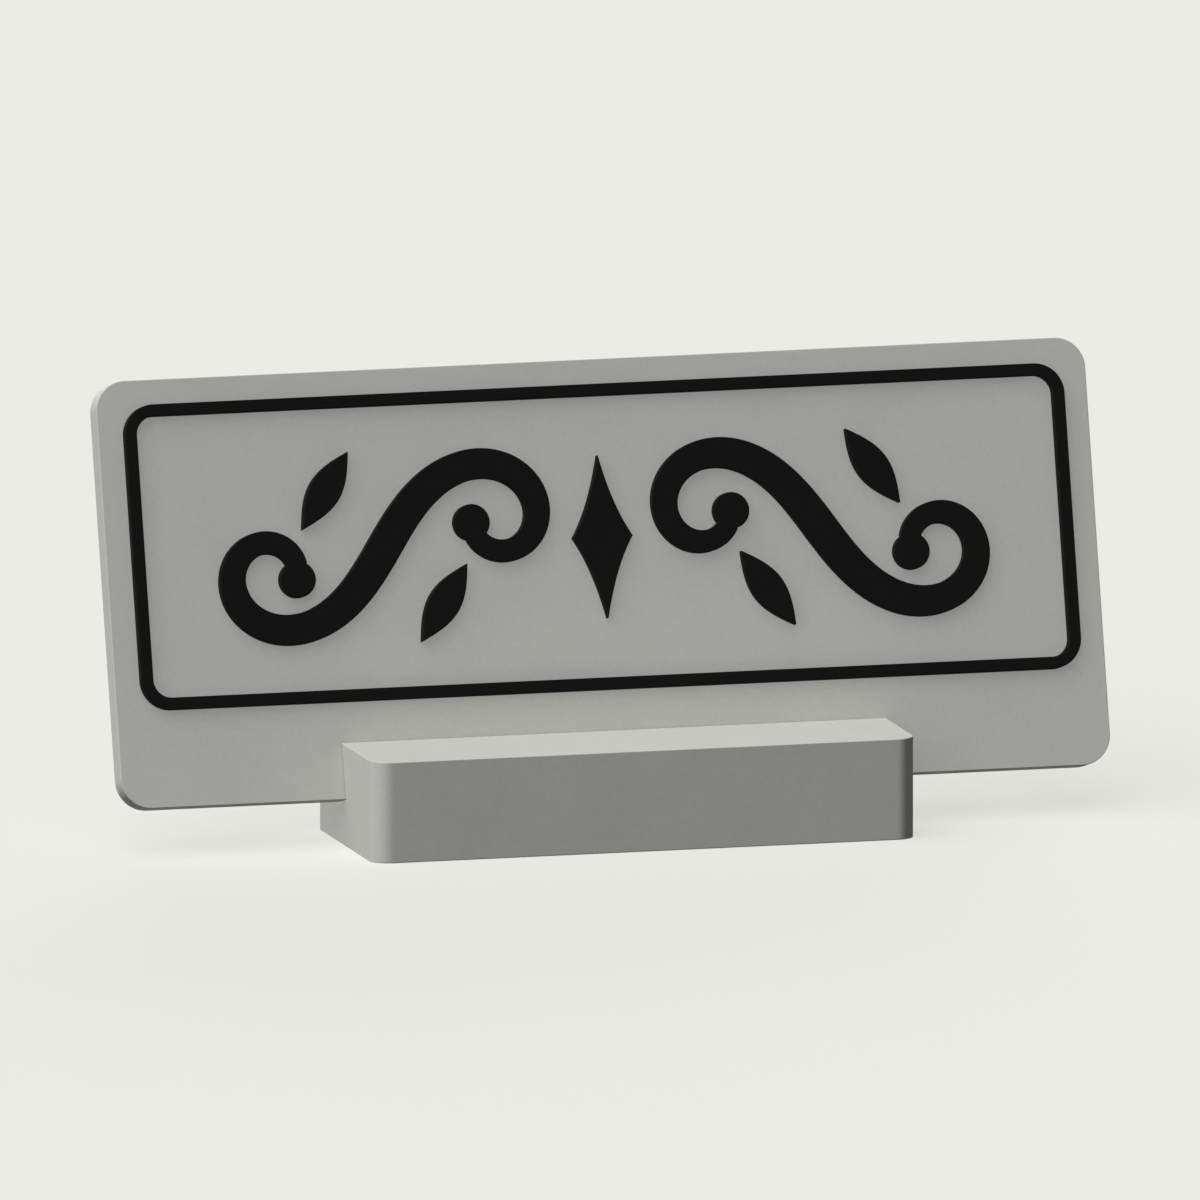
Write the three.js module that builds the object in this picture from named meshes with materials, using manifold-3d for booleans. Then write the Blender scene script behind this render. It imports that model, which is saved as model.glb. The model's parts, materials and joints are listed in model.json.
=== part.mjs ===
// Place card: a thin plate with a raised border and ornament, leaning back in a slotted block.
// Millimetres and degrees. +X is the viewer's right, +Y points away from the viewer, +Z is up.
// The origin is the centre of the stand's underside.

import * as THREE from 'three';
import { mergeVertices } from 'three/addons/utils/BufferGeometryUtils.js';
import Module from 'manifold-3d';

const wasm = await Module();
wasm.setup();

// Stand
const STAND_LENGTH = 55;
const STAND_DEPTH = 22;
const STAND_HEIGHT = 10;
const STAND_CORNER_RADIUS = 2;

// Slot: open at both ends, leaning back with the card
const LEAN_ANGLE = 15;
const SLOT_DEPTH = 6.2; // from the top face to the floor, along the lean
const SLOT_SETBACK = 2.35; // from the stand's middle to the slot's middle, at the top face
const SLOT_SIDE_CLEARANCE = 0.2; // on each side of the plate
const SLOT_FLOOR_CLEARANCE = 0.3;

// Plate
const PLATE_WIDTH = 100;
const PLATE_HEIGHT = 42;
const PLATE_THICKNESS = 2.5;
const PLATE_CORNER_RADIUS = 3;

// Raised pieces on the plate's front
const RELIEF_HEIGHT = 1; // from the plate's face to the front of a raised piece
const RELIEF_SEAT_CLEARANCE = 0.3; // between the plate's face and the back of a raised piece

// Border
const BORDER_SIDE_MARGIN = 2.5;
const BORDER_TOP_MARGIN = 2.5;
const BORDER_BOTTOM_MARGIN = 9.5;
const BORDER_BAR = 1.2;
const BORDER_CORNER_RADIUS = 3;

// Ornament: a lozenge between two mirrored S-scrolls, with a leaf in each hollow of a scroll
const ORNAMENT_SIDE_MARGIN = 7; // from the inside of the border to the scroll
const SCROLL_CENTRE_GAP = 9.5; // between the two scrolls
const SCROLL_WIDTH = 3.4; // across the middle of the stroke
const SCROLL_END_WIDTH = 1.9;
const SCROLL_TAPER_POWER = 1.5; // above 1 the stroke keeps its width near the middle
const SCROLL_BALL_DIAMETER = 3.6; // round end of the stroke
const SCROLL_SLOPE = 56; // fall of the middle of the stroke, outwards
const SCROLL_INNER_CURL = 1.9; // how far the spiral winds towards the lozenge, in its own parameter
const SCROLL_OUTER_CURL = 1.95; // the same, towards the border
const LOZENGE_WIDTH = 6;
const LOZENGE_HEIGHT = 16;
const LOZENGE_HOLLOW = 0.55; // how far each side bows inwards
const LEAF_LENGTH = 9;
const LEAF_WIDTH = 3.2;
const LEAF_SCROLL_GAP = 4.6; // from the stroke's edge at its middle to the leaf
const LEAF_SHIFT = 1.6; // of an upper leaf along the stroke, inwards

// Fineness of the curves
const CORNER_STEPS = 12;
const SCROLL_STEPS = 96;
const SPIRAL_SUBSTEPS = 8;
const BALL_SIDES = 28;
const LOZENGE_SIDE_STEPS = 8;
const LEAF_STEPS = 14;

// Finishes
const GREY = { color: '#b0b1ac', roughness: 0.6, metalness: 0 };
const BLACK = { color: '#141414', roughness: 0.6, metalness: 0 };

const lean = THREE.MathUtils.degToRad(LEAN_ANGLE);
const slope = THREE.MathUtils.degToRad(SCROLL_SLOPE);
const slotWidth = PLATE_THICKNESS + 2 * SLOT_SIDE_CLEARANCE;
const borderHeight = PLATE_HEIGHT - BORDER_TOP_MARGIN - BORDER_BOTTOM_MARGIN;
const borderWidth = PLATE_WIDTH - 2 * BORDER_SIDE_MARGIN;
const panelMiddle = BORDER_BOTTOM_MARGIN + borderHeight / 2;

function namedMesh(name, geometry, finish) {
  const mesh = new THREE.Mesh(geometry, new THREE.MeshStandardMaterial(finish));
  mesh.name = name;
  return mesh;
}

function toSolid(geometry) {
  const bare = geometry.clone();
  bare.deleteAttribute('normal');
  bare.deleteAttribute('uv');
  const merged = mergeVertices(bare);
  const vertProperties = new Float32Array(merged.attributes.position.array);
  const triVerts = new Uint32Array(merged.index.array);
  return new wasm.Manifold(new wasm.Mesh({ numProp: 3, vertProperties, triVerts }));
}

function toGeometry(solid) {
  const mesh = solid.getMesh();
  const geometry = new THREE.BufferGeometry();
  geometry.setAttribute('position', new THREE.BufferAttribute(mesh.vertProperties, 3));
  geometry.setIndex(new THREE.BufferAttribute(mesh.triVerts, 1));
  return geometry;
}

// A rounded rectangle as a closed path, its corners quarter circles.
function roundedRectangle(path, left, bottom, width, height, radius) {
  const right = left + width;
  const top = bottom + height;
  path.moveTo(right, bottom + radius);
  path.absarc(right - radius, top - radius, radius, 0, Math.PI / 2);
  path.absarc(left + radius, top - radius, radius, Math.PI / 2, Math.PI);
  path.absarc(left + radius, bottom + radius, radius, Math.PI, 1.5 * Math.PI);
  path.absarc(right - radius, bottom + radius, radius, 1.5 * Math.PI, 2 * Math.PI);
  path.closePath();
  return path;
}

function flatSheet(shape, thickness) {
  return new THREE.ExtrudeGeometry(shape, {
    depth: thickness,
    bevelEnabled: false,
    curveSegments: CORNER_STEPS,
  });
}

// In the card's own frame x runs along the plate, z up the plate and -y towards the viewer.
// A sheet drawn in x and y stands up there, from y = back towards the viewer.
function standUp(geometry, back) {
  geometry.rotateX(Math.PI / 2);
  geometry.translate(0, back, 0);
  return geometry;
}

// The block, less a slanted box that is longer than the block and stands out of its top face.
function standGeometry() {
  const outline = roundedRectangle(
    new THREE.Shape(), -STAND_LENGTH / 2, -STAND_DEPTH / 2, STAND_LENGTH, STAND_DEPTH, STAND_CORNER_RADIUS,
  );
  const block = flatSheet(outline, STAND_HEIGHT);
  const overrun = slotWidth;
  const cut = new THREE.BoxGeometry(STAND_LENGTH + 2 * overrun, slotWidth, SLOT_DEPTH + overrun);
  cut.translate(0, 0, (overrun - SLOT_DEPTH) / 2);
  cut.rotateX(-lean);
  cut.translate(0, SLOT_SETBACK, STAND_HEIGHT);
  return toGeometry(toSolid(block).subtract(toSolid(cut)));
}

function plateGeometry() {
  const outline = roundedRectangle(
    new THREE.Shape(), -PLATE_WIDTH / 2, 0, PLATE_WIDTH, PLATE_HEIGHT, PLATE_CORNER_RADIUS,
  );
  return standUp(flatSheet(outline, PLATE_THICKNESS), PLATE_THICKNESS / 2);
}

// Stands a raised piece's outline on the plate's front face, up to the relief's height.
function raised(shape) {
  const thickness = RELIEF_HEIGHT - RELIEF_SEAT_CLEARANCE;
  return standUp(flatSheet(shape, thickness), -PLATE_THICKNESS / 2 - RELIEF_SEAT_CLEARANCE);
}

function borderGeometry() {
  const outline = roundedRectangle(
    new THREE.Shape(),
    -borderWidth / 2,
    BORDER_BOTTOM_MARGIN,
    borderWidth,
    borderHeight,
    BORDER_CORNER_RADIUS,
  );
  const window = roundedRectangle(
    new THREE.Path(),
    -borderWidth / 2 + BORDER_BAR,
    BORDER_BOTTOM_MARGIN + BORDER_BAR,
    borderWidth - 2 * BORDER_BAR,
    borderHeight - 2 * BORDER_BAR,
    BORDER_CORNER_RADIUS - BORDER_BAR,
  );
  outline.holes.push(window);
  return raised(outline);
}

// A spiral whose curvature grows evenly with the distance along it, both ways from its middle, where
// it is straight. At parameter t its direction is the starting slope plus a quarter turn times t squared.
function spiralPoints() {
  const step = (SCROLL_INNER_CURL + SCROLL_OUTER_CURL) / SCROLL_STEPS;
  const walk = (target) => {
    const place = new THREE.Vector2();
    const count = Math.max(1, Math.ceil(Math.abs(target) / step)) * SPIRAL_SUBSTEPS;
    for (let i = 0; i < count; i += 1) {
      const t = (target * (i + 0.5)) / count;
      const heading = (Math.PI / 2) * t * t - slope;
      place.x += (Math.cos(heading) * target) / count;
      place.y += (Math.sin(heading) * target) / count;
    }
    return place;
  };
  const points = [];
  for (let i = 0; i <= SCROLL_STEPS; i += 1) {
    const t = -SCROLL_INNER_CURL + i * step;
    const share = t < 0 ? -t / SCROLL_INNER_CURL : t / SCROLL_OUTER_CURL;
    points.push({ place: walk(t), heading: (Math.PI / 2) * t * t - slope, share });
  }
  return points;
}

// The right-hand scroll's middle line, as large as fits between the middle gap and the side margin,
// and centred in the height of the panel. The stroke is widest in the middle.
function scrollLine() {
  const points = spiralPoints();
  const xs = points.map((point) => point.place.x);
  const ys = points.map((point) => point.place.y);
  const inner = SCROLL_CENTRE_GAP / 2 + SCROLL_WIDTH / 2;
  const outer = borderWidth / 2 - BORDER_BAR - ORNAMENT_SIDE_MARGIN - SCROLL_WIDTH / 2;
  const scale = (outer - inner) / (Math.max(...xs) - Math.min(...xs));
  const middle = new THREE.Vector2(
    inner - Math.min(...xs) * scale,
    panelMiddle - ((Math.max(...ys) + Math.min(...ys)) / 2) * scale,
  );
  const taper = SCROLL_END_WIDTH - SCROLL_WIDTH;
  const line = points.map(({ place, heading, share }) => ({
    place: place.clone().multiplyScalar(scale).add(middle),
    heading,
    halfWidth: (SCROLL_WIDTH + taper * share ** SCROLL_TAPER_POWER) / 2,
  }));
  return { line, middle };
}

// side is 1 for the right-hand scroll and -1 for its mirror image.
function scrollGeometry(side) {
  const { line } = scrollLine();
  const edge = (sign) => line.map(({ place, heading, halfWidth }) => new THREE.Vector2(
    side * (place.x - sign * Math.sin(heading) * halfWidth),
    place.y + sign * Math.cos(heading) * halfWidth,
  ));
  const outline = new THREE.Shape([...edge(-1), ...edge(1).reverse()]);
  const ends = [line[0].place, line[line.length - 1].place];
  const balls = ends.map(({ x, y }) => {
    const ball = new THREE.CylinderGeometry(
      SCROLL_BALL_DIAMETER / 2, SCROLL_BALL_DIAMETER / 2, RELIEF_HEIGHT - RELIEF_SEAT_CLEARANCE, BALL_SIDES,
    );
    ball.translate(side * x, -(PLATE_THICKNESS + RELIEF_HEIGHT + RELIEF_SEAT_CLEARANCE) / 2, y);
    return ball;
  });
  return toGeometry(balls.reduce((solid, ball) => solid.add(toSolid(ball)), toSolid(raised(outline))));
}

// Four corners on the axes, joined by sides that bow inwards as parabolas.
function lozengeGeometry() {
  const corners = [
    new THREE.Vector2(LOZENGE_WIDTH / 2, 0),
    new THREE.Vector2(0, LOZENGE_HEIGHT / 2),
    new THREE.Vector2(-LOZENGE_WIDTH / 2, 0),
    new THREE.Vector2(0, -LOZENGE_HEIGHT / 2),
  ];
  const points = [];
  corners.forEach((corner, index) => {
    const next = corners[(index + 1) % corners.length];
    const inwards = corner.clone().add(next).normalize().multiplyScalar(-LOZENGE_HOLLOW);
    for (let i = 0; i < LOZENGE_SIDE_STEPS; i += 1) {
      const share = i / LOZENGE_SIDE_STEPS;
      const point = corner.clone().lerp(next, share);
      point.addScaledVector(inwards, 4 * share * (1 - share));
      points.push(point.setY(point.y + panelMiddle));
    }
  });
  return raised(new THREE.Shape(points));
}

// A pointed oval whose half width is a half sine wave along it, lying along the scroll's middle.
// side is 1 on the right and -1 on the left, level 1 above the scroll and -1 below it.
function leafGeometry(side, level) {
  const { middle } = scrollLine();
  const along = new THREE.Vector2(Math.cos(slope), -Math.sin(slope));
  const across = new THREE.Vector2(Math.sin(slope), Math.cos(slope));
  const offset = SCROLL_WIDTH / 2 + LEAF_SCROLL_GAP + LEAF_WIDTH / 2;
  const centre = middle.clone();
  centre.addScaledVector(across, level * offset);
  centre.addScaledVector(along, -level * LEAF_SHIFT);
  const edge = (sign) => {
    const points = [];
    for (let i = 0; i < LEAF_STEPS; i += 1) {
      const share = i / LEAF_STEPS;
      const point = centre.clone();
      point.addScaledVector(along, sign * (share - 0.5) * LEAF_LENGTH);
      point.addScaledVector(across, -sign * Math.sin(Math.PI * share) * LEAF_WIDTH / 2);
      points.push(point.setX(side * point.x));
    }
    return points;
  };
  return raised(new THREE.Shape([...edge(1), ...edge(-1)]));
}

// The card's frame: its origin is the middle of the plate's bottom edge, standing clear of the slot's
// floor, and it leans back with the slot.
function cardGroup() {
  const card = new THREE.Group();
  const sunk = SLOT_DEPTH - SLOT_FLOOR_CLEARANCE;
  card.position.set(0, SLOT_SETBACK - sunk * Math.sin(lean), STAND_HEIGHT - sunk * Math.cos(lean));
  card.rotation.x = -lean;
  card.add(
    namedMesh('card_plate', plateGeometry(), GREY),
    namedMesh('border_frame', borderGeometry(), BLACK),
    namedMesh('centre_lozenge', lozengeGeometry(), BLACK),
  );
  for (const [sideName, side] of [['left', -1], ['right', 1]]) {
    card.add(namedMesh(`scroll_${sideName}`, scrollGeometry(side), BLACK));
    for (const [levelName, level] of [['upper', 1], ['lower', -1]]) {
      card.add(namedMesh(`leaf_${levelName}_${sideName}`, leafGeometry(side, level), BLACK));
    }
  }
  return card;
}

const placeCard = new THREE.Group();
placeCard.add(namedMesh('stand', standGeometry(), GREY), cardGroup());

export default placeCard;
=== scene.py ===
"""Place card: a grey plate with a raised black border and ornament, leaning back in a slotted stand.

The packed model gives the outer sizes and the lean. Each piece is a closed surface made of rings:
a section carried round an outline. Lengths are in metres, in the model's own frame.
"""

import json
import math

import bpy
import numpy as np
from bpy.props import FloatProperty, FloatVectorProperty, IntProperty, PointerProperty
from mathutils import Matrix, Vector


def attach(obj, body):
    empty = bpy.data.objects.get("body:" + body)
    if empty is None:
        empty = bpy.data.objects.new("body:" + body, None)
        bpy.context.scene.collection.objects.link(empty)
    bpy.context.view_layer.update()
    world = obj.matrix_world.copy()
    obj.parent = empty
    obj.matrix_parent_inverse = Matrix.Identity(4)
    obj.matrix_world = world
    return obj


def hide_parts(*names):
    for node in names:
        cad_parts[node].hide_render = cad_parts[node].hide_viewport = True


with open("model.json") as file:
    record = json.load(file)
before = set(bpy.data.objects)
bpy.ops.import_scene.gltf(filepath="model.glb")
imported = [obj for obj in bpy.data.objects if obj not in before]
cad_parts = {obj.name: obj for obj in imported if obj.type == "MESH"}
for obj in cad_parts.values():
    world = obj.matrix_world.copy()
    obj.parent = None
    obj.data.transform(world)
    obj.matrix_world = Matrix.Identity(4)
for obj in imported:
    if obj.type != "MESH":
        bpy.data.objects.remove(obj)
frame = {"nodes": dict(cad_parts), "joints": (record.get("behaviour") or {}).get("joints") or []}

bl_info = {
    "name": "Place Card",
    "version": (1, 0, 0),
    "blender": (4, 5, 0),
    "location": "View3D > Sidebar > Place Card",
    "description": "Builds a place card in its slotted stand",
    "category": "Add Mesh",
}

MM = 0.001

# The card's own directions: across the plate, up the plate (the way its one joint lifts it) and out
# of its front.
CARD_ACROSS = np.array([1.0, 0.0, 0.0])
CARD_UP = np.array(frame["joints"][0]["axis"], float)
CARD_OUT = np.cross(CARD_ACROSS, CARD_UP)
CARD_AXES = np.array([CARD_ACROSS, CARD_UP, CARD_OUT])

# The stand's section is drawn in y and z, and carried along x.
STAND_AXES = np.array([[0.0, 1.0, 0.0], [0.0, 0.0, 1.0], [1.0, 0.0, 0.0]])


def box_along(node, axes):
    """Lowest and highest corner of a packed node, measured along three directions."""
    mesh = frame["nodes"][node].data
    points = np.empty(len(mesh.vertices) * 3, np.float32)
    mesh.vertices.foreach_get("co", points)
    along = points.reshape(-1, 3).astype(float) @ axes.T
    return along.min(axis=0), along.max(axis=0)


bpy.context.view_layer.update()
STAND_LOW, STAND_HIGH = box_along("stand", STAND_AXES)
PLATE_LOW, PLATE_HIGH = box_along("card_plate", CARD_AXES)
BORDER_LOW, BORDER_HIGH = box_along("border_frame", CARD_AXES)
PANEL_MIDDLE = (BORDER_LOW[1] + BORDER_HIGH[1]) / 2

# Fineness of the surfaces
CORNER_POINTS = 24
EDGE_POINTS = 7
SCROLL_POINTS = 600
BALL_POINTS = 40
LEAF_POINTS = 48
LOZENGE_POINTS = 32
SIDE_SHARES = np.array([0.01, 0.25, 0.5, 0.75, 0.99])  # where a straight side gets its points
SUPPORT = 0.04 * MM  # from a rounded edge to the row of points that keeps the flat beside it flat
ROOM_SHARE = 0.8  # how much of the way to the middle of the shape an inset may go
NOWHERE = 1e-6 * MM  # a distance that counts as none

# Detail of the plastics' noise, in octaves past the first, and the value that it swings about
GRAIN_DETAIL = 2.0
CLOUD_DETAIL = 3.0
NOISE_MIDDLE = 0.5


class StandSettings(bpy.types.PropertyGroup):
    """Sizes of the stand that the packed model's box doesn't give."""

    corner_radius: FloatProperty(
        name="Corner radius", description="Radius of the upright corners",
        default=2.0 * MM, min=0.0, unit="LENGTH",
    )
    slot_clearance: FloatProperty(
        name="Slot clearance", description="Free space on each side of the plate",
        default=0.1 * MM, min=0.0, unit="LENGTH",
    )
    seat_clearance: FloatProperty(
        name="Seat clearance", description="Free space under the plate",
        default=0.05 * MM, min=0.0, unit="LENGTH",
    )
    edge_rounding: FloatProperty(
        name="Edge rounding", description="Radius of the broken edges",
        default=0.1 * MM, min=0.0, unit="LENGTH",
    )


class PlateSettings(bpy.types.PropertyGroup):
    """Sizes of the plate that the packed model's box doesn't give."""

    corner_radius: FloatProperty(
        name="Corner radius", description="Radius of the plate's corners",
        default=3.0 * MM, min=0.0, unit="LENGTH",
    )
    edge_rounding: FloatProperty(
        name="Edge rounding", description="Radius of the broken edges",
        default=0.08 * MM, min=0.0, unit="LENGTH",
    )


class ReliefSettings(bpy.types.PropertyGroup):
    """Sizes of the raised border and ornament."""

    rooting: FloatProperty(
        name="Rooting", description="How far a raised piece reaches into the plate's face",
        default=0.2 * MM, min=0.0, unit="LENGTH",
    )
    edge_rounding: FloatProperty(
        name="Edge rounding", description="Radius of the raised pieces' broken edges",
        default=0.1 * MM, min=0.0, unit="LENGTH",
    )
    border_bar: FloatProperty(
        name="Border bar", description="Width of the border's bar",
        default=1.2 * MM, min=0.0, unit="LENGTH",
    )
    border_radius: FloatProperty(
        name="Border radius", description="Outer radius of the border's corners",
        default=3.0 * MM, min=0.0, unit="LENGTH",
    )
    side_margin: FloatProperty(
        name="Side margin", description="From the inside of the border to the scroll",
        default=7.0 * MM, min=0.0, unit="LENGTH",
    )
    centre_gap: FloatProperty(
        name="Centre gap", description="Between the two scrolls",
        default=9.5 * MM, min=0.0, unit="LENGTH",
    )
    scroll_width: FloatProperty(
        name="Scroll width", description="Width of the scroll's stroke at its middle",
        default=3.4 * MM, min=0.0, unit="LENGTH",
    )
    scroll_end_width: FloatProperty(
        name="Scroll end width", description="Width of the scroll's stroke where it meets its round ends",
        default=1.9 * MM, min=0.0, unit="LENGTH",
    )
    taper_power: FloatProperty(
        name="Taper power", description="Above 1 the stroke keeps its width near the middle",
        default=1.5, min=0.1,
    )
    scroll_ball: FloatProperty(
        name="Scroll ball", description="Diameter of the scroll's round ends",
        default=3.6 * MM, min=0.0, unit="LENGTH",
    )
    scroll_slope: FloatProperty(
        name="Scroll slope", description="Fall of the middle of the stroke, outwards",
        default=math.radians(56.0), subtype="ANGLE",
    )
    inner_curl: FloatProperty(
        name="Inner curl", description="How far the spiral winds towards the lozenge, in its own parameter",
        default=1.9, min=0.1,
    )
    outer_curl: FloatProperty(
        name="Outer curl", description="How far the spiral winds towards the border, in its own parameter",
        default=1.95, min=0.1,
    )
    lozenge_width: FloatProperty(
        name="Lozenge width", description="Width of the centre lozenge",
        default=6.0 * MM, min=0.0, unit="LENGTH",
    )
    lozenge_height: FloatProperty(
        name="Lozenge height", description="Height of the centre lozenge",
        default=16.0 * MM, min=0.0, unit="LENGTH",
    )
    lozenge_hollow: FloatProperty(
        name="Lozenge hollow", description="How far each side of the lozenge bows inwards",
        default=0.55 * MM, min=0.0, unit="LENGTH",
    )
    leaf_length: FloatProperty(
        name="Leaf length", description="Length of each leaf",
        default=9.0 * MM, min=0.0, unit="LENGTH",
    )
    leaf_width: FloatProperty(
        name="Leaf width", description="Width of each leaf",
        default=3.2 * MM, min=0.0, unit="LENGTH",
    )
    leaf_gap: FloatProperty(
        name="Leaf gap", description="From the stroke's edge at its middle to the leaf",
        default=4.6 * MM, min=0.0, unit="LENGTH",
    )
    leaf_shift: FloatProperty(
        name="Leaf shift", description="Shift of an upper leaf along the stroke, inwards",
        default=1.6 * MM, min=0.0, unit="LENGTH",
    )


class FinishSettings(bpy.types.PropertyGroup):
    """Colours, gloss and grain of the two plastics."""

    grey: FloatVectorProperty(
        name="Grey", description="Colour of the stand and the plate",
        default=(0.434, 0.439, 0.413), size=3, min=0.0, max=1.0, subtype="COLOR",
    )
    grey_roughness: FloatProperty(
        name="Grey roughness", description="Middle roughness of the grey plastic",
        default=0.62, min=0.0, max=1.0,
    )
    grey_gloss: FloatProperty(
        name="Grey gloss", description="Specular level of the grey plastic",
        default=0.08, min=0.0, max=1.0,
    )
    black: FloatVectorProperty(
        name="Black", description="Colour of the border and the ornament",
        default=(0.0067, 0.0068, 0.0065), size=3, min=0.0, max=1.0, subtype="COLOR",
    )
    black_roughness: FloatProperty(
        name="Black roughness", description="Middle roughness of the black plastic",
        default=0.6, min=0.0, max=1.0,
    )
    black_gloss: FloatProperty(
        name="Black gloss", description="Specular level of the black plastic",
        default=0.02, min=0.0, max=1.0,
    )
    roughness_swing: FloatProperty(
        name="Roughness swing", description="Roughness on top of a grain less that between grains",
        default=0.1, min=0.0, max=1.0,
    )
    grain_size: FloatProperty(
        name="Grain size", description="Width of one grain of the moulded surface",
        default=0.35 * MM, min=0.01 * MM, unit="LENGTH",
    )
    grain_depth: FloatProperty(
        name="Grain depth", description="Depth of the grain",
        default=0.01 * MM, min=0.0, unit="LENGTH",
    )
    cloud_size: FloatProperty(
        name="Cloud size", description="Width of the faint clouds of lighter and darker plastic",
        default=6.0 * MM, min=0.1 * MM, unit="LENGTH",
    )
    cloud_share: FloatProperty(
        name="Cloud share", description="Share of the clouds in the colour's shade; the rest is grain",
        default=0.4, min=0.0, max=1.0,
    )
    colour_spread: FloatProperty(
        name="Colour spread", description="From the colour to its lightest or darkest shade, as a share",
        default=0.10, min=0.0, max=1.0,
    )


class StageSettings(bpy.types.PropertyGroup):
    """Floor, light and camera."""

    backdrop: FloatVectorProperty(
        name="Backdrop", description="Colour of the surroundings as the camera sees them",
        default=(0.823, 0.831, 0.791), size=3, min=0.0, max=1.0, subtype="COLOR",
    )
    floor: FloatVectorProperty(
        name="Floor", description="Colour of the floor as the camera sees it",
        default=(0.61, 0.615, 0.585), size=3, min=0.0, max=1.0, subtype="COLOR",
    )
    floor_bounce: FloatProperty(
        name="Floor bounce", description="Share of the light that the floor throws back at the object",
        default=0.105, min=0.0, max=1.0,
    )
    ambient: FloatProperty(
        name="Ambient", description="Even light from all round", default=0.08, min=0.0,
    )
    key: FloatProperty(
        name="Key light", description="Light on a surface that faces the key", default=1.5, min=0.0,
    )
    key_side: FloatVectorProperty(
        name="Key side", description="From the object towards the key, in front on the upper left",
        default=(-0.545, -0.247, 0.801), size=3, subtype="DIRECTION",
    )
    key_spread: FloatProperty(
        name="Key spread", description="Angle that the key covers in the sky, for its part with shadows",
        default=math.radians(80.0), subtype="ANGLE",
    )
    even_share: FloatProperty(
        name="Even share", description="Share of the key light that casts no shadow",
        default=0.75, min=0.0, max=1.0,
    )
    even_spread: FloatProperty(
        name="Even spread", description="Angle that the key covers in the sky, for its part without shadows",
        default=math.radians(5.0), subtype="ANGLE",
    )
    fill: FloatProperty(
        name="Fill light", description="Light on a surface that faces the fill", default=0.5, min=0.0,
    )
    fill_side: FloatVectorProperty(
        name="Fill side", description="From the object towards the fill, low behind it",
        default=(0.38, 0.92, 0.1), size=3, subtype="DIRECTION",
    )
    fill_spread: FloatProperty(
        name="Fill spread", description="Angle that the fill covers in the sky",
        default=math.radians(50.0), subtype="ANGLE",
    )
    picture_width: FloatProperty(
        name="Picture width", description="Width of what the camera shows",
        default=117.21 * MM, min=1.0 * MM, unit="LENGTH",
    )
    azimuth: FloatProperty(
        name="Azimuth", description="Turn of the camera round the object, to the viewer's right",
        default=math.radians(-15.0), subtype="ANGLE",
    )
    elevation: FloatProperty(
        name="Elevation", description="Height of the camera above the horizon",
        default=math.radians(10.0), subtype="ANGLE",
    )
    aim_right: FloatProperty(
        name="Aim right", description="From the frame's origin to the middle of the picture, rightwards",
        default=-1.62 * MM, unit="LENGTH",
    )
    aim_up: FloatProperty(
        name="Aim up", description="From the frame's origin to the middle of the picture, upwards",
        default=22.74 * MM, unit="LENGTH",
    )
    camera_distance: FloatProperty(
        name="Camera distance", description="From the frame's origin back to the camera",
        default=0.5, min=0.1, unit="LENGTH",
    )
    floor_width: FloatProperty(
        name="Floor width", description="Width of the floor", default=4.0, min=0.1, unit="LENGTH",
    )
    floor_points: IntProperty(
        name="Floor points", description="Points along each side of the floor's mesh", default=9, min=2,
    )


def rounded_rectangle(width, height, radius):
    """Points round a rectangle with round corners, anticlockwise, its middle at the origin.

    A corner point is the corner's centre plus the radius times (cosine, sine) of an angle that runs
    through a quarter turn. A side point is a set share of the way from one corner to the next.
    """
    quarter = np.linspace(0.0, math.pi / 2, CORNER_POINTS)
    angle = quarter + np.arange(4)[:, None] * math.pi / 2
    reach = np.array([width / 2 - radius, height / 2 - radius])
    centre = np.array([[1, 1], [-1, 1], [-1, -1], [1, -1]]) * reach
    arcs = centre[:, None, :] + radius * np.stack([np.cos(angle), np.sin(angle)], axis=-1)
    starts = arcs[:, -1:, :]
    ends = np.roll(arcs[:, :1, :], -1, axis=0)
    sides = starts + (ends - starts) * SIDE_SHARES[None, :, None]
    return np.concatenate([arcs, sides], axis=1).reshape(-1, 2)


def eased_polygon(corners, rounding):
    """Points round a polygon whose corners are eased, anticlockwise.

    Each corner is a parabola that leaves one side and meets the next at the rounding from the corner:
    (1 - t) squared times the first point, plus 2 t (1 - t) times the corner, plus t squared times the
    last. One more point on each side keeps the side flat.
    """
    corners = np.asarray(corners, float)
    onward = np.roll(corners, -1, axis=0) - corners
    onward /= np.linalg.norm(onward, axis=1, keepdims=True)
    arriving = np.roll(onward, 1, axis=0)
    share = np.linspace(0.0, 1.0, EDGE_POINTS)[None, :, None]
    first = (corners - arriving * rounding)[:, None, :]
    last = (corners + onward * rounding)[:, None, :]
    middle = corners[:, None, :]
    curve = (1 - share) ** 2 * first + 2 * share * (1 - share) * middle + share ** 2 * last
    before = first - arriving[:, None, :] * SUPPORT
    after = last + onward[:, None, :] * SUPPORT
    return np.concatenate([before, curve, after], axis=1).reshape(-1, 2)


def inward_steps(outline, deepest):
    """For each point of an anticlockwise outline, the step that moves both its sides inwards by one.

    The step points along the sum of the two sides' inward normals, and its length is one over the
    cosine of half the turn between them. It is shorter near a sharp tip, where the deepest inset would
    pass the middle of the shape.
    """
    onward = np.roll(outline, -1, axis=0) - outline
    onward /= np.linalg.norm(onward, axis=1, keepdims=True)
    normal = np.stack([-onward[:, 1], onward[:, 0]], axis=1)
    both = normal + np.roll(normal, 1, axis=0)
    length = np.linalg.norm(both, axis=1)
    inward = both / length[:, None]
    longest = ROOM_SHARE * room_inside(outline, inward) / deepest
    return inward * np.minimum(2 / length, longest)[:, None]


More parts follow.
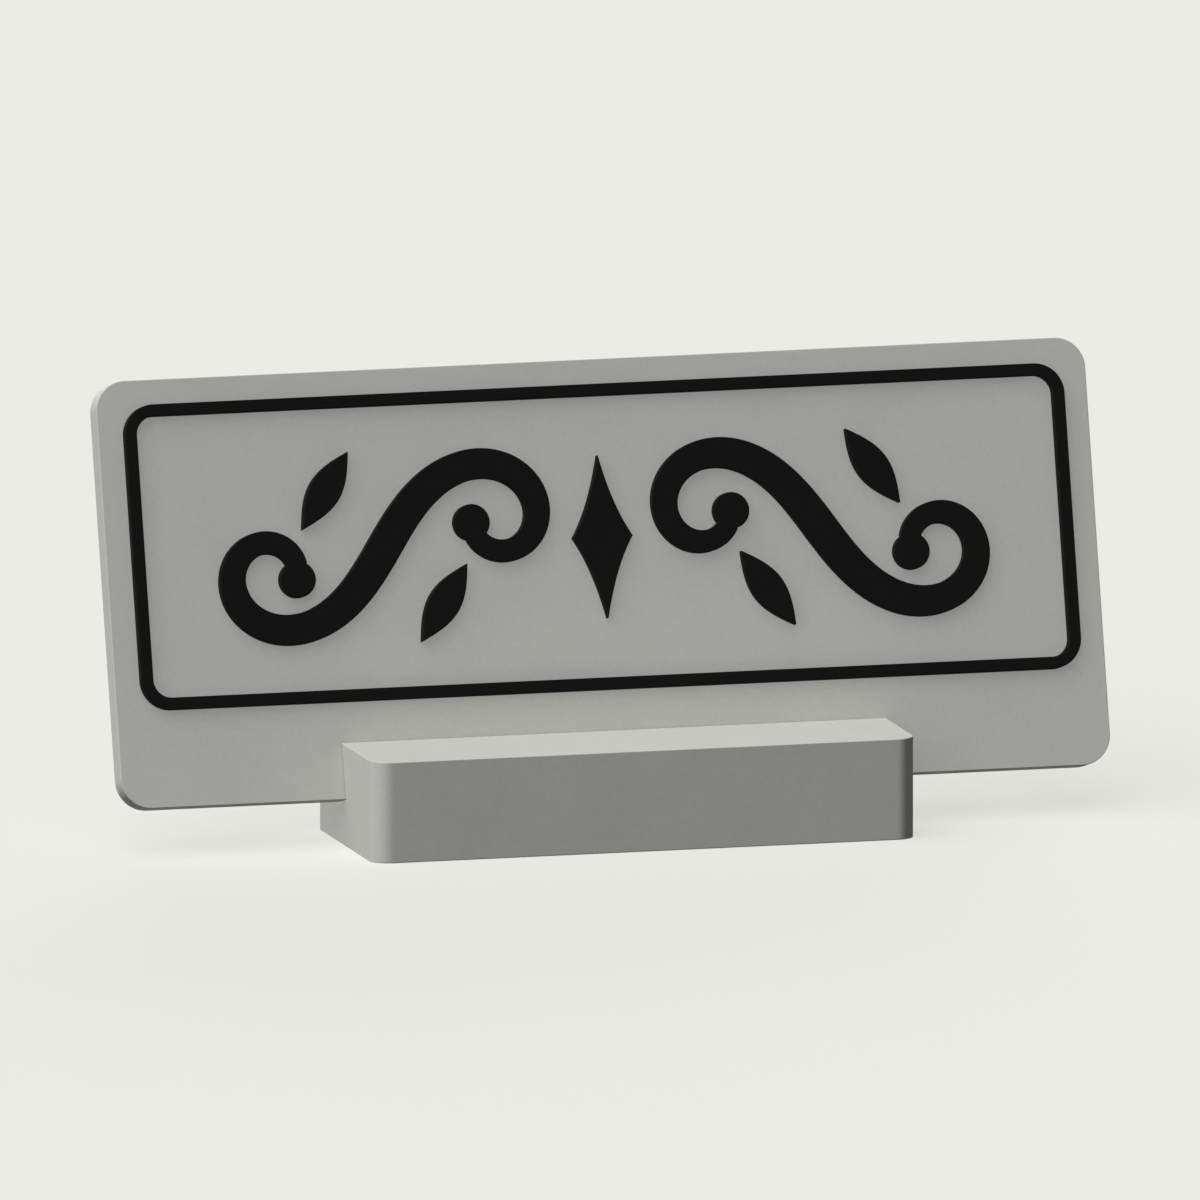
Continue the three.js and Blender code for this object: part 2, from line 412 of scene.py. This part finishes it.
def room_inside(outline, inward):
    """Radius of the largest circle that touches the outline at each point and stays inside it.

    It is the least, over all other points, of the distance squared over twice the part of it that
    lies along the inward direction.
    """
    apart = outline[None, :, :] - outline[:, None, :]
    along = np.sum(apart * inward[:, None, :], axis=2)
    square = np.sum(apart * apart, axis=2)
    ahead = along > NOWHERE
    return np.where(ahead, square / (2 * np.where(ahead, along, 1.0)), np.inf).min(axis=1)


def edge_section(low, high, rounding):
    """(inset, height) down the rim of a flat piece, from its front face to its back.

    Each edge is a quarter circle: the inset is the rounding times one minus the sine of the angle,
    and the drop from the face is the rounding times one minus its cosine.
    """
    angle = np.linspace(0.0, math.pi / 2, EDGE_POINTS)
    inset = rounding * (1 - np.sin(angle))
    drop = rounding * (1 - np.cos(angle))
    front = np.stack([inset, high - drop], axis=1)
    back = np.stack([inset, low + drop], axis=1)[::-1]
    face = rounding + SUPPORT
    return np.concatenate([
        [[face, high]], front, [[0.0, high - face]], [[0.0, low + face]], back, [[face, low]],
    ])


def carried(outline, section):
    """Rings of points: the outline moved inwards by each inset of the section, at each height."""
    steps = inward_steps(outline, section[:, 0].max())
    flat = outline[None, :, :] + section[:, 0, None, None] * steps[None, :, :]
    height = np.broadcast_to(section[:, 1, None, None], flat.shape[:2] + (1,))
    return np.concatenate([flat, height], axis=2)


def ring_faces(rings, points, closed):
    """Four-cornered faces between each ring and the next, and round each ring, facing outwards."""
    ring = np.arange(rings if closed else rings - 1)[:, None]
    point = np.arange(points)[None, :]
    next_ring = (ring + 1) % rings
    next_point = (point + 1) % points
    corners = [
        ring * points + point,
        next_ring * points + point,
        next_ring * points + next_point,
        ring * points + next_point,
    ]
    return np.stack(np.broadcast_arrays(*corners), axis=-1).reshape(-1, 4).tolist()


def add_piece(name, rings, axes, body, node, material, closed=False):
    """Makes a closed mesh of rings, which are drawn along the given axes, and hangs it on its body."""
    count, points = rings.shape[:2]
    faces = ring_faces(count, points, closed)
    if not closed:
        faces.append(list(range(points)))
        faces.append(list(range(count * points - 1, (count - 1) * points - 1, -1)))
    mesh = bpy.data.meshes.new(name)
    mesh.from_pydata(rings.reshape(-1, 3) @ axes, [], faces)
    mesh.polygons.foreach_set("use_smooth", np.ones(len(faces), bool))
    mesh.materials.append(material)
    mesh.update()
    piece = bpy.data.objects.new(name, mesh)
    bpy.context.scene.collection.objects.link(piece)
    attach(piece, body)
    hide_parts(node)


class Value:
    """A number from a shader socket. Sums, differences and products of it add Math nodes."""

    def __init__(self, shading, socket):
        self.shading = shading
        self.socket = socket

    def __add__(self, other):
        return self.shading.math("ADD", self, other)

    __radd__ = __add__

    def __sub__(self, other):
        return self.shading.math("SUBTRACT", self, other)

    def __rsub__(self, other):
        return self.shading.math("SUBTRACT", other, self)

    def __mul__(self, other):
        return self.shading.math("MULTIPLY", self, other)

    __rmul__ = __mul__


class Shading:
    """Builds the nodes of one material or world."""

    def __init__(self, owner):
        owner.use_nodes = True
        self.tree = owner.node_tree
        self.tree.nodes.clear()

    def node(self, kind, settings=(), **sockets):
        """Adds a node, sets it up, then fills its sockets; an underscore in a name stands for a space."""
        made = self.tree.nodes.new(kind)
        for key, value in dict(settings).items():
            setattr(made, key, value)
        for key, value in sockets.items():
            self.fill(made, key.replace("_", " "), value)
        return made

    def fill(self, node, name, value):
        """Links or sets the shown input of that name."""
        target = next(s for s in node.inputs if s.enabled and s.name == name and not s.is_linked)
        if isinstance(value, Value):
            self.tree.links.new(value.socket, target)
        elif isinstance(value, bpy.types.NodeSocket):
            self.tree.links.new(value, target)
        else:
            target.default_value = value

    def math(self, operation, left, right):
        """A Math node on two numbers, either of which may come from a socket."""
        made = self.tree.nodes.new("ShaderNodeMath")
        made.operation = operation
        for target, value in zip(made.inputs, (left, right)):
            if isinstance(value, Value):
                self.tree.links.new(value.socket, target)
            else:
                target.default_value = value
        return Value(self, made.outputs[0])

    def noise(self, place, size, detail):
        """Smooth noise from 0 to 1 with features of about the given size."""
        made = self.node("ShaderNodeTexNoise", Vector=place, Scale=1.0 / size, Detail=detail)
        return Value(self, made.outputs["Fac"])

    def split_by_ray(self, to_light, to_camera):
        """One shader for light, and another for what the camera sees, also through glass or a mirror."""
        path = self.node("ShaderNodeLightPath")
        camera, glossy, transmission = (
            Value(self, path.outputs[f"Is {kind} Ray"]) for kind in ("Camera", "Glossy", "Transmission")
        )
        seen = self.math("MINIMUM", camera + glossy + transmission, 1.0)
        mix = self.node("ShaderNodeMixShader", Fac=seen)
        for target, shader in zip(mix.inputs[1:], (to_light, to_camera)):
            self.tree.links.new(shader.outputs[0], target)
        return mix.outputs["Shader"]


def moulded_plastic(name, colour, roughness, gloss):
    """Matte moulded plastic: a fine grain that catches the light, and faint clouds in the colour."""
    finish = bpy.context.scene.place_card_finish
    material = bpy.data.materials.new(name)
    shading = Shading(material)
    place = shading.node("ShaderNodeTexCoord").outputs["Object"]
    grain = shading.noise(place, finish.grain_size, GRAIN_DETAIL)
    clouds = shading.noise(place, finish.cloud_size, CLOUD_DETAIL)
    shade = finish.cloud_share * clouds + (1 - finish.cloud_share) * grain
    spread = finish.colour_spread
    dark = [channel * (1 - spread) for channel in colour] + [1.0]
    light = [channel * (1 + spread) for channel in colour] + [1.0]
    tint = shading.node(
        "ShaderNodeMix", {"data_type": "RGBA", "clamp_factor": True}, Factor=shade, A=dark, B=light,
    )
    bump = shading.node(
        "ShaderNodeBump", Height=grain, Strength=1.0, Distance=finish.grain_depth,
    )
    surface = shading.node(
        "ShaderNodeBsdfPrincipled",
        Base_Color=next(s for s in tint.outputs if s.enabled),
        Roughness=roughness + finish.roughness_swing * (grain - NOISE_MIDDLE),
        Specular_IOR_Level=gloss,
        Normal=bump.outputs["Normal"],
    )
    shading.node("ShaderNodeOutputMaterial", Surface=surface.outputs["BSDF"])
    return material


def shared_material(name, colour, roughness, gloss):
    """The named plastic, made once."""
    return bpy.data.materials.get(name) or moulded_plastic(name, colour, roughness, gloss)


def grey_plastic():
    """The stand's and the plate's finish."""
    finish = bpy.context.scene.place_card_finish
    return shared_material("moulded_grey", finish.grey, finish.grey_roughness, finish.grey_gloss)


def black_plastic():
    """The border's and the ornament's finish."""
    finish = bpy.context.scene.place_card_finish
    return shared_material("moulded_black", finish.black, finish.black_roughness, finish.black_gloss)


class AddStand(bpy.types.Operator):
    """Adds the slotted block"""

    bl_idname = "place_card.add_stand"
    bl_label = "Add Stand"

    def execute(self, context):
        settings = context.scene.place_card_stand
        rings = self.rings(settings)
        add_piece("stand_block", rings, STAND_AXES, "stand", "stand", grey_plastic())
        return {"FINISHED"}

    @classmethod
    def rings(cls, settings):
        """The block's section, carried from its right-hand end to its left-hand end.

        Near an end, the quarter circle of the edge rounding draws the whole section inwards, and that
        of the corner radius draws the points of the front and back faces towards the middle.
        """
        outline = eased_polygon(cls.corners(settings), settings.edge_rounding)
        from_end = cls.stations(settings.corner_radius)
        end = STAND_HIGH[2]
        along = np.concatenate([end - from_end, (from_end - end)[::-1]])
        depth = np.concatenate([from_end, from_end[::-1]])
        inset = cls.rounded_off(depth, settings.edge_rounding)
        inset[[0, -1]] += SUPPORT
        rings = carried(outline, np.stack([inset, along], axis=1))
        shift = cls.rounded_off(depth, settings.corner_radius)[:, None]
        near_face = np.abs(outline[:, 0]) > STAND_HIGH[0] - settings.corner_radius
        rings[:, :, 0] -= np.sign(outline[:, 0]) * near_face * shift
        return rings

    @staticmethod
    def corners(settings):
        """Corners of the block's section in y and z, anticlockwise from the back's foot."""
        up = CARD_UP[1:]
        out = CARD_OUT[1:]
        half_slot = (PLATE_HIGH[2] - PLATE_LOW[2]) / 2 + settings.slot_clearance
        middle = (PLATE_HIGH[2] + PLATE_LOW[2]) / 2
        floor = PLATE_LOW[1] - settings.seat_clearance
        front_floor = up * floor + out * (middle + half_slot)
        back_floor = up * floor + out * (middle - half_slot)
        top = STAND_HIGH[1]
        front_mouth = front_floor + up * (top - front_floor[1]) / up[1]
        back_mouth = back_floor + up * (top - back_floor[1]) / up[1]
        return [
            (STAND_HIGH[0], STAND_LOW[1]),
            (STAND_HIGH[0], top),
            back_mouth,
            back_floor,
            front_floor,
            front_mouth,
            (STAND_LOW[0], top),
            (STAND_LOW[0], STAND_LOW[1]),
        ]

    @staticmethod
    def stations(radius):
        """Distances from the block's end at which it gets a ring, close together near the end.

        They are the radius times one minus the cosine of an angle that runs through a quarter turn,
        with the first given twice, and one more past the corner.
        """
        angle = np.linspace(0.0, math.pi / 2, CORNER_POINTS)
        rounded = radius * (1 - np.cos(angle))
        return np.concatenate([[0.0], rounded, [radius + SUPPORT]])

    @staticmethod
    def rounded_off(depth, radius):
        """How far a quarter circle has cut in at each distance from the end: nothing past its radius.

        It is the radius less the root of its square less the square of what is left of it.
        """
        left = np.clip(radius - depth, 0.0, radius)
        return radius - np.sqrt(radius ** 2 - left ** 2)


class AddPlate(bpy.types.Operator):
    """Adds the thin plate that stands in the slot"""

    bl_idname = "place_card.add_plate"
    bl_label = "Add Plate"

    def execute(self, context):
        # The rim's section goes round a rectangle with round corners, and two flat faces close it.
        settings = context.scene.place_card_plate
        size = PLATE_HIGH - PLATE_LOW
        middle = (PLATE_HIGH + PLATE_LOW) / 2
        outline = rounded_rectangle(size[0], size[1], settings.corner_radius) + middle[:2]
        section = edge_section(PLATE_LOW[2], PLATE_HIGH[2], settings.edge_rounding)
        rings = carried(outline, section)
        add_piece("card_sheet", rings, CARD_AXES, "card", "card_plate", grey_plastic())
        return {"FINISHED"}


def add_relief(name, outline, node):
    """A raised black piece of the given outline, rooted in the plate's face."""
    settings = bpy.context.scene.place_card_relief
    section = edge_section(PLATE_HIGH[2] - settings.rooting, BORDER_HIGH[2], settings.edge_rounding)
    rings = carried(outline, section)
    add_piece(name, rings, CARD_AXES, "card", node, black_plastic())


class AddBorder(bpy.types.Operator):
    """Adds the raised border"""

    bl_idname = "place_card.add_border"
    bl_label = "Add Border"

    def execute(self, context):
        # The bar's section, a small rectangle with round corners, goes round a large one and joins up.
        settings = context.scene.place_card_relief
        size = BORDER_HIGH - BORDER_LOW
        middle = (BORDER_HIGH + BORDER_LOW) / 2
        outline = rounded_rectangle(size[0], size[1], settings.border_radius) + middle[:2]
        low = PLATE_HIGH[2] - settings.rooting
        height = BORDER_HIGH[2] - low
        bar = rounded_rectangle(settings.border_bar, height, settings.edge_rounding)
        section = bar + [settings.border_bar / 2, low + height / 2]
        rings = carried(outline, section)
        add_piece(
            "border_rail", rings, CARD_AXES, "card", "border_frame", black_plastic(),
            closed=True,
        )
        return {"FINISHED"}


def scroll_line(settings):
    """The right-hand scroll's middle line, its headings and its half widths, and its straight middle.

    The line is a spiral whose curvature grows evenly with the distance from its middle, both ways: at
    parameter t it heads along the slope plus a quarter turn times t squared. It is as large as fits
    between the centre gap and the side margin. The half width falls from the middle to the ends by
    the distance's share of the whole, to the taper's power.
    """
    t = np.linspace(-settings.inner_curl, settings.outer_curl, SCROLL_POINTS)
    between = (t[1:] + t[:-1]) / 2
    course = math.pi / 2 * between ** 2 - settings.scroll_slope
    steps = np.stack([np.cos(course), np.sin(course)], axis=1) * np.diff(t)[:, None]
    line = np.concatenate([[[0.0, 0.0]], np.cumsum(steps, axis=0)])
    line -= [np.interp(0.0, t, line[:, 0]), np.interp(0.0, t, line[:, 1])]
    low = line.min(axis=0)
    high = line.max(axis=0)
    half_stroke = settings.scroll_width / 2
    inner = settings.centre_gap / 2 + half_stroke
    outer = BORDER_HIGH[0] - settings.border_bar - settings.side_margin - half_stroke
    scale = (outer - inner) / (high[0] - low[0])
    middle = np.array([inner - low[0] * scale, PANEL_MIDDLE - (low[1] + high[1]) / 2 * scale])
    heading = math.pi / 2 * t ** 2 - settings.scroll_slope
    share = np.where(t < 0, -t / settings.inner_curl, t / settings.outer_curl)
    taper = settings.scroll_end_width - settings.scroll_width
    half_width = (settings.scroll_width + taper * share ** settings.taper_power) / 2
    return line * scale + middle, heading, half_width, middle


def ball_arc(centre, radius, before, after):
    """Points round a ball, anticlockwise from beside one point to beside another.

    A point is the centre plus the radius times (cosine, sine) of an angle that runs evenly between
    the directions of those two points.
    """
    start, stop = (math.atan2(*(point - centre)[::-1]) for point in (before, after))
    if stop < start:
        stop += 2 * math.pi
    angle = np.linspace(start, stop, BALL_POINTS)
    return centre + radius * np.stack([np.cos(angle), np.sin(angle)], axis=1)


def scroll_outline(settings):
    """The right-hand scroll's outline, anticlockwise: one edge, a ball, the other edge, a ball.

    An edge point is a point of the line plus or minus its half width times its normal, and those that
    lie inside a ball are left out.
    """
    line, heading, half_width, _ = scroll_line(settings)
    normal = np.stack([-np.sin(heading), np.cos(heading)], axis=1) * half_width[:, None]
    radius = settings.scroll_ball / 2
    right, left = (
        edge[np.all([np.linalg.norm(edge - line[end], axis=1) > radius for end in (0, -1)], axis=0)]
        for edge in (line - normal, line + normal)
    )
    outer_ball = ball_arc(line[-1], radius, right[-1], left[-1])
    inner_ball = ball_arc(line[0], radius, left[0], right[0])
    return np.concatenate([right, outer_ball, left[::-1], inner_ball])


def mirrored(outline):
    """The outline on the left-hand side, still anticlockwise."""
    return (outline * [-1, 1])[::-1]


class AddScrolls(bpy.types.Operator):
    """Adds the two mirrored S-scrolls"""

    bl_idname = "place_card.add_scrolls"
    bl_label = "Add Scrolls"

    def execute(self, context):
        outline = scroll_outline(context.scene.place_card_relief)
        add_relief("scroll_relief_right", outline, "scroll_right")
        add_relief("scroll_relief_left", mirrored(outline), "scroll_left")
        return {"FINISHED"}


class AddLozenge(bpy.types.Operator):
    """Adds the lozenge between the scrolls"""

    bl_idname = "place_card.add_lozenge"
    bl_label = "Add Lozenge"

    def execute(self, context):
        settings = context.scene.place_card_relief
        add_relief("lozenge_relief", self.outline(settings), "centre_lozenge")
        return {"FINISHED"}

    @staticmethod
    def outline(settings):
        """Four corners on the axes, joined by sides that bow inwards as parabolas.

        A side point is its share s of the way between two corners, moved inwards by the hollow times
        4 s (1 - s).
        """
        reach = np.array([settings.lozenge_width, settings.lozenge_height]) / 2
        corner = np.array([[1, 0], [0, 1], [-1, 0], [0, -1]]) * reach
        following = np.roll(corner, -1, axis=0)
        inwards = -(corner + following)
        inwards /= np.linalg.norm(inwards, axis=1, keepdims=True)
        share = np.linspace(0.0, 1.0, LOZENGE_POINTS, endpoint=False)[None, :, None]
        straight = corner[:, None, :] + (following - corner)[:, None, :] * share
        bow = settings.lozenge_hollow * 4 * share * (1 - share)
        return (straight + inwards[:, None, :] * bow).reshape(-1, 2) + [0.0, PANEL_MIDDLE]


class AddLeaves(bpy.types.Operator):
    """Adds a leaf in each hollow of the scrolls"""

    bl_idname = "place_card.add_leaves"
    bl_label = "Add Leaves"

    def execute(self, context):
        settings = context.scene.place_card_relief
        for level, sign in (("upper", 1), ("lower", -1)):
            outline = self.outline(settings, sign)
            add_relief(f"leaf_relief_{level}_right", outline, f"leaf_{level}_right")
            add_relief(f"leaf_relief_{level}_left", mirrored(outline), f"leaf_{level}_left")
        return {"FINISHED"}

    @staticmethod
    def outline(settings, sign):
        """A pointed oval along the right-hand scroll's middle: its half width is a half sine wave.

        sign is 1 above the scroll and -1 below it.
        """
        middle = scroll_line(settings)[3]
        slope = settings.scroll_slope
        along = np.array([math.cos(slope), -math.sin(slope)])
        across = np.array([math.sin(slope), math.cos(slope)])
        offset = settings.scroll_width / 2 + settings.leaf_gap + settings.leaf_width / 2
        centre = middle + sign * (across * offset - along * settings.leaf_shift)
        share = np.linspace(0.0, 1.0, LEAF_POINTS, endpoint=False)[:, None]
        reach = (share - 0.5) * settings.leaf_length * along
        bulge = np.sin(math.pi * share) * settings.leaf_width / 2 * across
        return centre + np.concatenate([reach - bulge, bulge - reach])


class AddStage(bpy.types.Operator):
    """Adds the floor, the light and the camera"""

    bl_idname = "place_card.add_stage"
    bl_label = "Add Stage"

    def execute(self, context):
        settings = context.scene.place_card_stage
        context.scene.view_settings.view_transform = "Standard"
        self.add_floor(context, settings)
        self.add_world(context, settings)
        # The key is two lamps on one side: a narrow one that shades the curves crisply and casts no
        # shadow, and a wide one that adds soft shadows.
        even = settings.key * settings.even_share
        self.add_lamp(context, "key", settings.key_side, settings.key - even, settings.key_spread)
        self.add_lamp(context, "even_key", settings.key_side, even, settings.even_spread, shadows=False)
        self.add_lamp(context, "fill", settings.fill_side, settings.fill, settings.fill_spread)
        self.add_camera(context, settings)
        return {"FINISHED"}

    @staticmethod
    def add_floor(context, settings):
        """A flat square grid, pale to the camera and darker to the light, so that it throws little back."""
        half = settings.floor_width / 2
        count = settings.floor_points
        step = np.linspace(-half, half, count)
        across, back = np.meshgrid(step, step)
        points = np.stack([across, back, np.zeros_like(across)], axis=-1).reshape(-1, 3)
        first = (np.arange(count - 1)[:, None] * count + np.arange(count - 1)[None, :]).reshape(-1, 1)
        faces = first + [0, 1, count + 1, count]
        mesh = bpy.data.meshes.new("floor")
        mesh.from_pydata(points, [], faces.tolist())
        material = bpy.data.materials.new("floor")
        shading = Shading(material)
        bounce = settings.floor_bounce
        to_light = shading.node("ShaderNodeBsdfDiffuse", Color=(bounce, bounce, bounce, 1.0))
        to_camera = shading.node("ShaderNodeBsdfDiffuse", Color=(*settings.floor, 1.0))
        shading.node("ShaderNodeOutputMaterial", Surface=shading.split_by_ray(to_light, to_camera))
        mesh.materials.append(material)
        floor = bpy.data.objects.new("floor", mesh)
        context.scene.collection.objects.link(floor)

    @staticmethod
    def add_world(context, settings):
        """Even light all round, which the camera sees as the backdrop's colour."""
        world = bpy.data.worlds.new("surroundings")
        shading = Shading(world)
        level = settings.ambient
        to_light = shading.node("ShaderNodeBackground", Color=(level, level, level, 1.0), Strength=1.0)
        to_camera = shading.node("ShaderNodeBackground", Color=(*settings.backdrop, 1.0), Strength=1.0)
        shading.node("ShaderNodeOutputWorld", Surface=shading.split_by_ray(to_light, to_camera))
        context.scene.world = world

    @staticmethod
    def add_lamp(context, name, side, level, spread, shadows=True):
        """A distant light: a white surface that faces it renders at its level."""
        lamp = bpy.data.lights.new(name, "SUN")
        lamp.energy = level * math.pi
        lamp.angle = spread
        lamp.use_shadow = shadows
        holder = bpy.data.objects.new(name, lamp)
        holder.rotation_mode = "QUATERNION"
        holder.rotation_quaternion = Vector(side).to_track_quat("Z", "Y")
        context.scene.collection.objects.link(holder)

    @staticmethod
    def add_camera(context, settings):
        """A parallel view from the photograph's side."""
        turn = settings.azimuth
        lift = settings.elevation
        back = Vector((
            math.sin(turn) * math.cos(lift),
            -math.cos(turn) * math.cos(lift),
            math.sin(lift),
        ))
        right = Vector((math.cos(turn), math.sin(turn), 0.0))
        up = back.cross(right)
        camera = bpy.data.cameras.new("camera")
        camera.type = "ORTHO"
        camera.ortho_scale = settings.picture_width
        holder = bpy.data.objects.new("camera", camera)
        holder.rotation_mode = "QUATERNION"
        holder.rotation_quaternion = (-back).to_track_quat("-Z", "Y")
        aim = right * settings.aim_right + up * settings.aim_up
        holder.location = aim + back * settings.camera_distance
        context.scene.collection.objects.link(holder)
        context.scene.camera = holder


OPERATORS = (AddStage, AddStand, AddPlate, AddBorder, AddScrolls, AddLozenge, AddLeaves)
SETTINGS = {
    "place_card_stand": StandSettings,
    "place_card_plate": PlateSettings,
    "place_card_relief": ReliefSettings,
    "place_card_finish": FinishSettings,
    "place_card_stage": StageSettings,
}


class PlaceCardPanel(bpy.types.Panel):
    """Lists the steps and their settings"""

    bl_idname = "VIEW3D_PT_place_card"
    bl_label = "Place Card"
    bl_space_type = "VIEW_3D"
    bl_region_type = "UI"
    bl_category = "Place Card"

    def draw(self, context):
        for operator in OPERATORS:
            self.layout.operator(operator.bl_idname)
        for name, group in SETTINGS.items():
            column = self.layout.column(align=True)
            column.label(text=group.__doc__)
            for field in group.__annotations__:
                column.prop(getattr(context.scene, name), field)


def register():
    for group in SETTINGS.values():
        bpy.utils.register_class(group)
    for name, group in SETTINGS.items():
        setattr(bpy.types.Scene, name, PointerProperty(type=group))
    for operator in OPERATORS:
        bpy.utils.register_class(operator)
    bpy.utils.register_class(PlaceCardPanel)


def unregister():
    bpy.utils.unregister_class(PlaceCardPanel)
    for operator in reversed(OPERATORS):
        bpy.utils.unregister_class(operator)
    for name in SETTINGS:
        delattr(bpy.types.Scene, name)
    for group in SETTINGS.values():
        bpy.utils.unregister_class(group)


def main():
    """Runs every step."""
    register()
    for operator in OPERATORS:
        group, step = operator.bl_idname.split(".")
        getattr(getattr(bpy.ops, group), step)()


if __name__ == "__main__":
    main()
